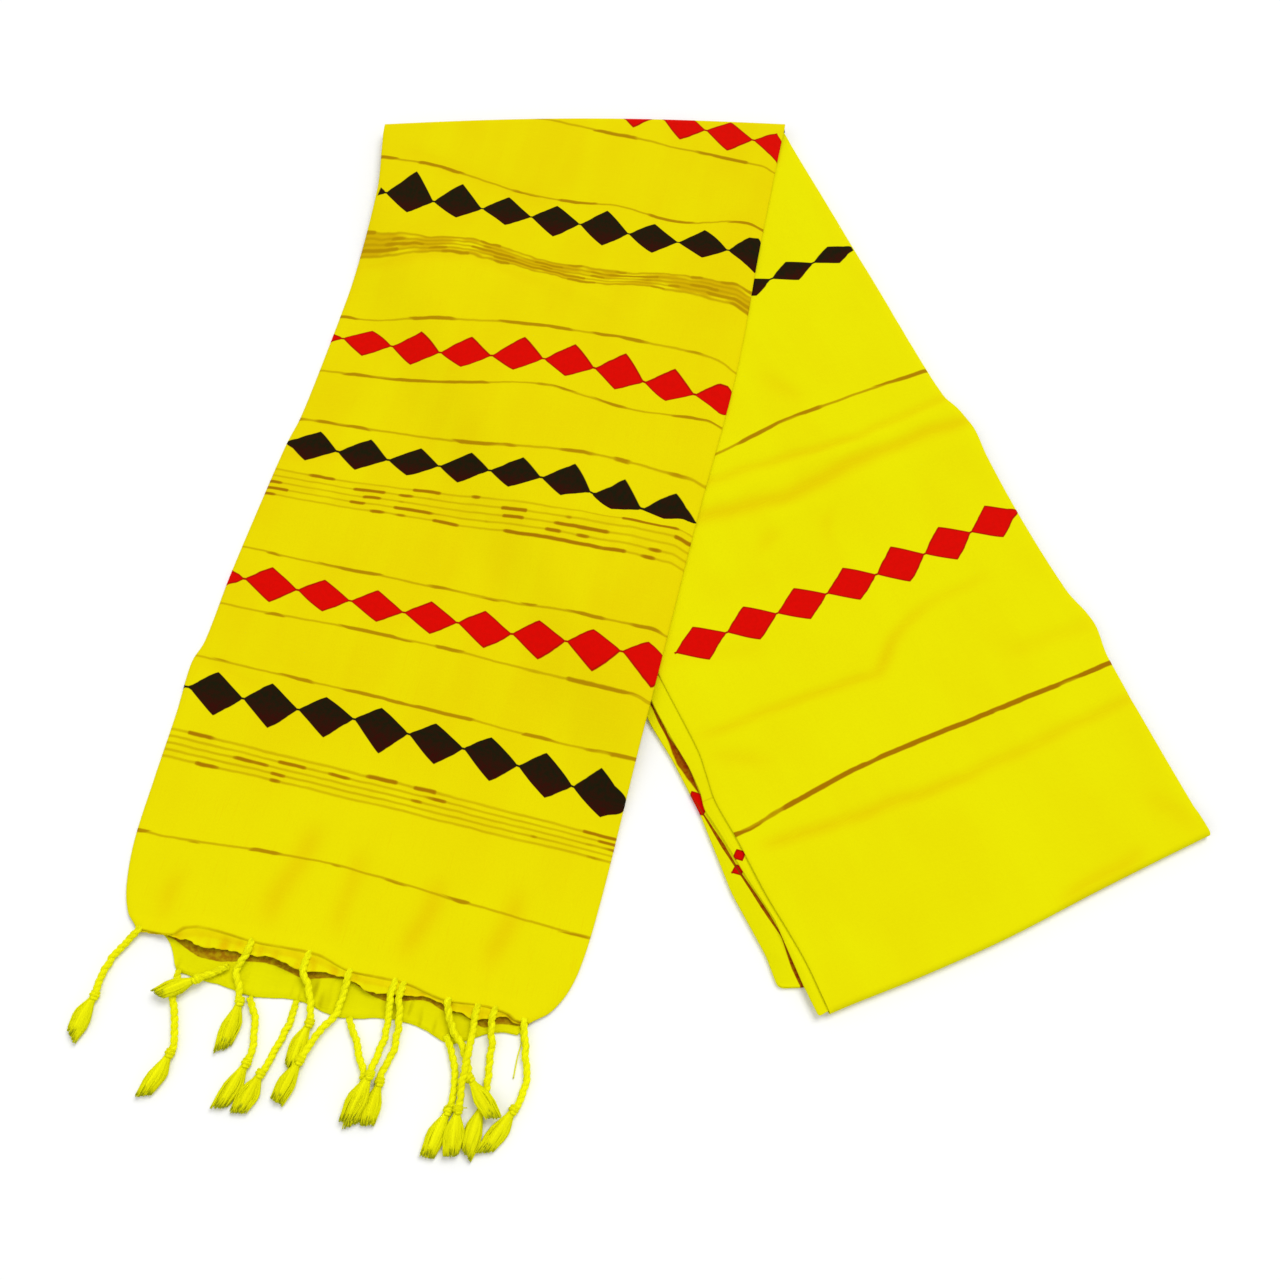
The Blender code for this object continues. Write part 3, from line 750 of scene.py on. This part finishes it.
def bodyFacePoint(acrossStep, downStep):
    side, turn = acrossStep
    u = held(side)
    v = min(downStep, 1.0)
    radius = strip["stackTop"] / 2
    start = -bodyShape["wide"] + bodyShape["wide"] * u
    bottom = through(bodyShape["bottom"], start) - radius
    top = start * math.tan(strip["bodyTurn"]) - strip["foldBulge"] * math.sin(math.pi * u)
    top = top + strip["foldRadius"] + 3
    down = top + (bottom - top) * v
    left = through(bodyShape["left"], down)
    right = through(bodyShape["right"], down)
    fade = eased((1 - v) / 0.05) * eased(v / 0.05)
    hand = "right" if side > 0.5 else "left"
    fullTurn, curl = bodyShape[hand + "Turn"], bodyShape[hand + "Curl"]
    angle = turn * fade * fullTurn
    reachRight = bodyShape["rightCurl"] * math.sin(min(bodyShape["rightTurn"] * fade, math.pi / 2))
    reachLeft = bodyShape["leftCurl"] * math.sin(min(bodyShape["leftTurn"] * fade, math.pi / 2))
    inner = (left + reachLeft) + (right - reachRight - left - reachLeft) * u
    outward = curl * math.sin(angle) if angle < math.pi / 2 else curl - 2.5 * (1 - math.sin(angle))
    across = inner + (outward if side > 0.5 else -outward) * (turn > 0)
    x, y = bodyPlan(across, down)
    hidden = eased((down - 0.9 * across - 20) / 60)
    crown = bodyShape["crown"] * math.sin(math.pi * held(u, 0.03, 0.97)) ** 0.6 * fade * hidden
    crown += (0.4 * soften(x, y, 50, 7.7) + 0.45 * soften(x, y, 130, 2.9)) * fade * hidden
    height, paintedShading = creased(bodyShape["creases"], across, down)
    crown += height * eased((1 - v) / 0.03)
    topHeight = strip["stackTop"] + crown
    drop = bodyShape[hand + "Drop"] * (1 - math.cos(angle)) / (1 - math.cos(fullTurn))
    z = topHeight - drop * (turn > 0)
    clothAcross = inner + (curl * turn * 1.4 if side > 0.5 else -curl * turn * 1.3)
    clothDown = clothRow("body", [*bodyRows, *bodyLines], across, down)
    if downStep > 1:
        roll = min(downStep - 1, 1.0) * math.pi
        x, y = bodyPlan(across, down + radius * math.sin(roll) * 1.05 - max(downStep - 2, 0) * 16)
        z = radius + radius * math.cos(roll)
        clothDown += (downStep - 1) * 11.3
        z = max(z, 0.6)
    return (x, y, z), (clothAcross, clothDown), (paintedShading, farAway, farAway)


def makeBodyFace(material):
    downs = [*evenly(0, 1, 220), *evenly(1.06, 2, 14), 2.4]
    return layCloth("bodyFace", withCurls(6, 96, 10), downs, bodyFacePoint, strip["wall"], "cotton_face",
                    material, "body_face")


bodyCotton = wovenCotton("bodyCotton", {
    "yellow": (0.79, 0.745, 0.0), "warm": (0.775, 0.69, 0.0),
    # "deep" is painted shade in the creases; "pale" is random paleness and also painted light on ridges
    "pale": (0.80, 0.78, 0.0), "deep": (0.75, 0.56, 0.0),
    "wander": 2.0, "rows": bodyRows, "lines": bodyLines,
})
bodyFace = makeBodyFace(bodyCotton)
print("body leg laid")


# the packets under the body leg: hidden layers whose folded edges show
packets = {
    "middlePacket": {
        "node": "middle_packet", "foot": 3.3, "thick": 2.5, "layers": 3, "seed": 3,
        "corners": ((-7.5, 2.5), (-271, -112), (-284, 376), (-283, 400), (-281, 424), (-281.5, 442),
            (-284, 452), (-282, 467), (-279, 502), (-275, 532), (-277, 574), (-277, 594.5), (-272, 594),
            (-11.5, 590), (-10.5, 474)),
    },
    "lowerPacket": {
        "node": "lower_packet", "foot": 0.0, "thick": 3.0, "layers": 4, "seed": 8,
        "corners": ((-1, 8), (-275, -104), (-290.5, 386), (-288, 414), (-287, 450), (-291, 506),
            (-289, 549), (-291, 569), (-276, 575.5), (-8, 573), (-6, 474)),
    },
}


def edgePoints(corners, spacing, rounding):
    # points round a closed outline with its corners rounded
    found = []
    count = len(corners)
    for index in range(count):
        before, here, after = (Vector(corners[(index + shift) % count]) for shift in (-1, 0, 1))
        backward, forward = before - here, after - here
        cut = min(rounding, backward.length * 0.4, forward.length * 0.4)
        enter = here + backward.normalized() * cut
        leave = here + forward.normalized() * cut
        for step in range(6):
            t = step / 6
            found.append(enter * (1 - t) ** 2 + here * 2 * t * (1 - t) + leave * t * t)
        following = Vector(corners[(index + 2) % count]) - after
        nextCut = min(rounding, forward.length * 0.4, following.length * 0.4)
        far = after - forward.normalized() * nextCut
        steps = max(1, int((far - leave).length / spacing))
        found += [leave.lerp(far, step / steps) for step in range(steps)]
    return found


def makePacket(name, shape, material):
    # flat layers on one another, each with a rounded edge
    edgeSteps = 5
    outline = edgePoints(shape["corners"], 5, 4)
    count = len(outline)
    middle = sum(outline, Vector((0, 0))) / count
    points, faces, clothPlaces = [], [], []
    layerTall = shape["thick"] / shape["layers"]
    for layer in range(shape["layers"]):
        low = shape["foot"] + layer * layerTall + 0.03
        high = low + layerTall - 0.06
        first = len(points)
        bulges = [math.sin(math.pi * step / edgeSteps) for step in range(edgeSteps + 1)]
        for step, bulge in enumerate(bulges):
            for place in outline:
                slip = 0.5 + 0.55 * soften(place.x, place.y, 60, layer * 7.7 + shape["seed"])
                slip += 0.2 * soften(place.x, place.y, 14, layer * 3.1 + shape["seed"])
                inset = max(slip, 0.0) + 0.55 * layerTall * (1 - bulge)
                away = place - middle
                spot = middle + away * (1 - inset / away.length)
                x, y = bodyPlan(spot.x, spot.y)
                points.append((x * mm, y * mm, (low + (high - low) * step / edgeSteps) * mm))
                clothPlaces += [spot.x, spot.y, 0.0]
        for step in range(edgeSteps):
            for index in range(count):
                following = (index + 1) % count
                a, b = first + step * count + index, first + step * count + following
                faces.append((a, b, b + count, a + count))
        faces.append(tuple(range(first + count - 1, first - 1, -1)))
        last = first + edgeSteps * count
        faces.append(tuple(range(last, last + count)))
    clothTones = [0.0, farAway, farAway] * len(points)
    return clothObject(name, points, faces, clothPlaces, clothTones, 0, "cotton_fold", material,
                       shape["node"])


# the packets are the body leg's cloth, made brighter than it as painted light against the shade they lie in
middleCotton = wovenCotton("middleCotton", {
    "yellow": (0.84, 0.80, 0.0), "warm": (0.81, 0.73, 0.0),
    "pale": (0.86, 0.84, 0.0), "deep": (0.70, 0.50, 0.0),
    "rows": [
        {"dye": "red", "at": 487.5, "start": -281.5, "pitch": 9.5, "tall": 8, "left": -281, "right": -272},
    ],
    "lines": [{"at": 448, "half": 0.35, "least": 0.15, "dashes": 0.8}],
})
lowerCotton = wovenCotton("lowerCotton", {
    "yellow": (0.84, 0.80, 0.0), "warm": (0.81, 0.73, 0.0),
    "pale": (0.86, 0.84, 0.0), "deep": (0.70, 0.50, 0.0),
    "rows": [
        {"dye": "red", "at": 446.5, "start": -294, "pitch": 17, "tall": 17, "left": -294, "right": -277},
        {"dye": "red", "at": 495, "start": -285.5, "pitch": 9, "tall": 8, "left": -285.5, "right": -276.5},
    ],
    # painted shadow where the middle packet's edge overhangs this one
    "gaps": [
        {"across": -283, "down": 418, "wide": 4.0, "long": 30, "lean": 0.05},
        {"across": -284, "down": 388, "wide": 1.5, "long": 34},
        {"across": -283, "down": 477, "wide": 1.4, "long": 44, "lean": 0.1},
        {"across": -277.5, "down": 522, "wide": 1.4, "long": 40, "lean": 0.12},
        {"across": -276.5, "down": 562, "wide": 2.2, "long": 34, "lean": -0.08},
    ],
})
middlePacket = makePacket("middlePacket", packets["middlePacket"], middleCotton)
lowerPacket = makePacket("lowerPacket", packets["lowerPacket"], lowerCotton)
print("packets stacked")


# the tassels: each a two-ply cord, a knot and a loose brush
tasselShape = {
    "ply": 1.65, "apart": 0.68, "twist": 8.0, "sides": 9, "step": 0.8, "root": 6.0,
    "brushLong": 26, "brushWide": 4.4, "brushTall": 2.3, "threads": 120, "thread": 0.55, "crinkle": 1.1,
    "knotSteps": 45, "knotTurns": 2.3, "knotPly": 1.15,
}
tassels = (
    # hem it hangs from, then its route as (x, y, height of its middle)
    ("upper", (-311, -240, 3), (-321, -251, 2.6), (-329, -265, 2.5), (-333, -281, 2.7), (-343, -301, 2.8)),
    ("lower", (-284, -263, 2), (-285, -280, 2.3), (-282, -297, 2.4), (-283, -311, 2.7), (-295, -336, 2.8)),
    ("lower", (-254, -261, 4.3), (-263, -265, 4.6), (-272, -269, 6), (-281, -272, 8), (-294, -277, 6)),
    ("upper", (-243, -253, 6.4), (-248, -262, 4.9), (-247, -270, 4.6), (-246, -285, 2.6), (-252, -309, 2.8)),
    ("lower", (-240, -279, 2), (-236, -290, 2.3), (-235, -301, 2.4), (-238, -317, 2.7), (-251, -342, 2.8)),
    ("lower", (-212, -281, 2), (-215, -294, 2.3), (-221, -307, 2.4), (-228, -321, 2.7), (-241, -345, 2.8)),
    ("upper", (-208, -261, 6.2), (-205, -273, 4.6), (-203, -285, 3.8), (-204, -299, 2.8), (-215, -320, 2.8)),
    ("upper", (-182, -268, 6), (-184, -279, 4.6), (-187, -288, 4.2), (-196, -299, 4.6), (-207, -316, 4),
     (-219, -339, 3)),
    ("lower", (-180, -291, 2), (-174, -308, 2.3), (-170, -320, 2.4), (-168, -331, 2.6), (-173, -352, 2.8)),
    ("upper", (-155, -276, 6), (-156, -289, 4.6), (-158, -302, 3.6), (-162, -316, 6), (-167, -328, 8),
     (-177, -350, 4.4)),
    ("upper", (-150, -278, 6), (-150, -291, 4.6), (-151, -304, 3), (-156, -318, 2.5), (-161, -330, 2.7),
     (-166, -352, 2.8)),
    ("lower", (-122, -301, 2), (-117, -315, 2.3), (-116, -328, 2.4), (-118, -342, 2.7), (-131, -368, 2.8)),
    ("upper", (-122, -285, 5.6), (-118, -298, 4.4), (-112, -308, 3.8), (-108, -321, 4.2), (-103, -334, 8.6),
     (-92, -347, 7.4)),
    ("upper", (-105, -289, 5.6), (-106, -300, 5.6), (-108, -311, 9.8), (-110, -322, 9), (-112, -337, 6.4),
     (-117, -369, 4)),
    ("upper", (-95, -292, 5.4), (-95, -304, 4), (-96, -316, 2.4), (-97, -329, 2.4), (-100, -342, 2.7),
     (-107, -368, 2.8)),
    ("upper", (-77, -297, 4), (-75, -311, 2.6), (-74, -325, 2.4), (-78, -338, 2.5), (-85, -349, 2.7),
     (-97, -367, 2.8)),
)


looseThreads = (
    # a thread hanging free beside the last tassel, and one lying over the tassels left of it
    ((-79, -297, 1.5), (-78, -305, 0.8), (-80, -314, 0.7), (-82, -326, 0.6)),
    ((-121, -342, 6.2), (-117, -340, 7), (-112, -342, 7), (-107, -342, 4)),
)


class Fringe:
    # gathers tubes into one mesh
    def __init__(self):
        self.points, self.faces, self.places, self.tones = [], [], [], []

    def tube(self, path, radii, sides, seed=0.0, brush=False):
        first = len(self.points)
        count = len(path)
        run = 0.0
        side = Vector((0, 0, 1))
        for index, here in enumerate(path):
            ahead = path[min(index + 1, count - 1)] - path[max(index - 1, 0)]
            ahead.normalize()
            side = side - ahead * side.dot(ahead)
            if side.length < 0.01:
                side = ahead.orthogonal()
            side.normalize()
            other = ahead.cross(side)
            if index:
                run += (here - path[index - 1]).length
            for corner in range(sides):
                angle = math.tau * corner / sides
                spot = here + (side * math.cos(angle) + other * math.sin(angle)) * radii[index]
                spot.z = max(spot.z, 0.05)
                self.points.append(spot * mm)
                self.places += [corner / sides, run, seed]
                self.tones += [index / (count - 1) if brush else 0.0, 1.0 if brush else 0.0, 0.0]
        for index in range(count - 1):
            for corner in range(sides):
                following = (corner + 1) % sides
                a, b = first + index * sides + corner, first + index * sides + following
                self.faces.append((a, b, b + sides, a + sides))
        last = first + (count - 1) * sides
        self.faces.append(tuple(range(first + sides - 1, first - 1, -1)))
        self.faces.append(tuple(range(last, last + sides)))

    def piece(self, name, material, nodes):
        return clothObject(name, self.points, self.faces, self.places, self.tones, 0, "twisted_cord",
                           material, *nodes)


def smoothRoute(route, step):
    # evenly spaced points on a curve through these ones
    ends = [route[0], *route, route[-1]]
    fine = []
    for index in range(len(route) - 1):
        p, q, r, s = (Vector(end) for end in ends[index : index + 4])
        for part in range(24):
            t = part / 24
            squared, cubed = 2 * p - 5 * q + 4 * r - s, 3 * q - p - 3 * r + s
            fine.append(0.5 * (2 * q + (r - p) * t + squared * t * t + cubed * t**3))
    fine.append(Vector(route[-1]))
    found, left = [fine[0]], step
    for a, b in zip(fine, fine[1:]):
        length = (b - a).length
        at = left
        while at <= length:
            found.append(a.lerp(b, at / length))
            at += step
        left = at - length
    return found


def fromHem(route):
    # the cord of an upper tassel starts at the smooth hem line, on top of the heading
    x, y, z = route[0]
    turn = strip["palluTurn"]
    across = (x - strip["foldLeft"][0]) * math.cos(turn) - (y - strip["foldLeft"][1]) * math.sin(turn)
    down = through(palluShape["hemLine"], across)
    edge = down + max(through(palluShape["headingDeep"], across), 1)
    start, over = palluPlan(across, down - 1.0), palluPlan(across, edge)
    high = restHeight(*start) + strip["palluTop"]
    return [(*start, high + 0.9), (*over, max(high + 1.2, z)), *route[1:]]


def crossways(ahead):
    # the level and the upright direction square to this one
    level = Vector((-ahead.y, ahead.x, 0)).normalized()
    return level, ahead.cross(level)


def addTassel(fringe, route, chance):
    shape = tasselShape
    path = smoothRoute(route, shape["step"])
    for index, spot in enumerate(path):
        # the cords are crinkled, more so away from the hem
        free = eased((index - 6) / 12) * shape["crinkle"]
        sway = Vector((soften(index, spot.x, 7, 2.7), soften(index, spot.y, 7, 6.1) * 0.6, 0))
        path[index] = spot + sway * free
    total = (len(path) - 1) * shape["step"]
    brushLong = shape["brushLong"] * chance.uniform(0.92, 1.08)
    cordEnd = int((total - brushLong) / shape["step"])
    cord = path[: max(cordEnd, 8) + 1]
    phase = chance.uniform(0, math.tau)
    pitch = shape["twist"] * chance.uniform(0.9, 1.12)
    plies = [[], []]
    for index, here in enumerate(cord):
        ahead = (path[min(index + 1, len(path) - 1)] - path[max(index - 1, 0)]).normalized()
        level, upright = crossways(ahead)
        run = index * shape["step"]
        angle = phase + run / pitch * math.tau
        for number in (0, 1):
            turn = angle + number * math.pi
            offset = (level * math.cos(turn) + upright * math.sin(turn)) * shape["apart"]
            plies[number].append(here + offset)
    for number in (0, 1):
        radii = [shape["ply"] * (0.88 + 0.12 * eased(index * shape["step"] / shape["root"]))
                 * chance.uniform(0.95, 1.05) for index in range(len(cord))]
        fringe.tube(plies[number], radii, shape["sides"], chance.random())
    knotAt = cord[-1]
    ahead = (path[-1] - knotAt).normalized()
    level, upright = crossways(ahead)
    wrap = []
    steps = shape["knotSteps"]
    for index in range(steps + 1):
        turn = index / steps * shape["knotTurns"] * math.tau
        along = -2.2 + 4.0 * index / steps
        radius = 1.75 + 0.35 * math.sin(math.pi * index / steps)
        wrap.append(knotAt + ahead * along + (level * math.cos(turn) + upright * math.sin(turn)) * radius)
    fringe.tube(wrap, [shape["knotPly"]] * (steps + 1), 7, chance.random())
    bend = chance.uniform(-0.08, 0.08)
    wideAs = shape["brushWide"] * chance.uniform(0.85, 1.1)
    slant = chance.uniform(-0.14, 0.14)
    core, coreRadii = [], []
    for index in range(8):
        t = index / 7
        lower = Vector((0, 0, -0.3 * t))
        core.append(knotAt + ahead * t * brushLong * 0.86 + level * bend * t * t * 18 + lower)
        coreRadii.append(1.5 + 1.3 * math.sin(math.pi * t * 0.8))
    fringe.tube(core, coreRadii, 8, chance.random(), brush=True)
    for number in range(shape["threads"]):
        angle = chance.uniform(0, math.tau)
        out = math.sqrt(chance.random())
        wide, tall = out * math.cos(angle), out * math.sin(angle)
        long = brushLong * (chance.uniform(0.9, 1.04) + slant * wide)
        curlA, curlB = chance.uniform(-0.6, 0.6), chance.uniform(0, math.tau)
        strand = []
        for index in range(7):
            t = index / 6
            spread = eased(t * 1.7) * (1 - 0.3 * eased((t - 0.6) / 0.4))
            sway = level * (wide * (1.3 + wideAs * spread) + curlA * math.sin(curlB + t * 5) * t)
            rise = upright * (tall * (1.2 + (shape["brushTall"] - 1.2) * spread))
            spot = knotAt + ahead * t * long + sway + rise + level * bend * t * t * 18
            spot.z = max(spot.z - 0.3 * t, 0.55)
            strand.append(spot)
        thin = shape["thread"]
        radii = [thin, thin, thin, thin, thin * 0.95, thin * 0.9, thin * 0.6]
        fringe.tube(strand, radii, 4, chance.random(), brush=True)


def twistedCotton(name):
    material, shader, base = newMaterial(name, {
        "Roughness": 0.9, "Specular IOR Level": 0.03, "Sheen Weight": 0.04,
        "Sheen Tint": (1.0, 0.97, 0.05, 1),
    })
    place = base.attribute("clothPlace")
    around, run, seed = place.parts()
    tip, loose, _ = base.attribute("clothTone").parts()
    strands = ((around * 6 + run * 0.55) * math.tau).maths("SINE")
    fuzz = place.grain(1.6, 3)
    mottle = seed * 0.7 + (fuzz - 0.5) * 0.6
    colour = mottle.smooth(0.1, 0.9).between((0.93, 0.93, 0.003), (0.84, 0.81, 0.002))
    # painted shade in the grooves between the strands of a ply
    colour = ((0 - strands).smooth(0.35, 1.0) * (1 - loose) * 0.3).between(colour, (0.60, 0.54, 0.0))
    colour = ((tip + seed * 0.1).smooth(0.96, 1.1) * loose * 0.7).between(colour, (0.22, 0.30, 0.02))
    base.feed(shader.inputs["Base Color"], colour)
    height = strands * 0.6 + fuzz
    bump = height.node("ShaderNodeBump", None, {"Strength": 0.5, "Distance": 0.25 * mm, "Height": height})
    base.feed(shader.inputs["Normal"], bump)
    return material


def makeFringes():
    material = twistedCotton("twistedCotton")
    chance = random.Random(41)
    made = {}
    for hem in ("upper", "lower"):
        fringe = Fringe()
        nodes = []
        for index, (owner, *route) in enumerate(tassels):
            if owner == hem:
                addTassel(fringe, fromHem(route) if hem == "upper" else route, chance)
                nodes.append(f"tassel_{index + 1:02d}")
        if hem == "lower":
            for route in looseThreads:
                path = smoothRoute(route, 1.0)
                fringe.tube(path, [0.4] * len(path), 5, 0.5, brush=True)
        made[hem] = fringe.piece(hem + "Tassels", material, nodes)
    return made


fringes = makeFringes()
print("tassels knotted")
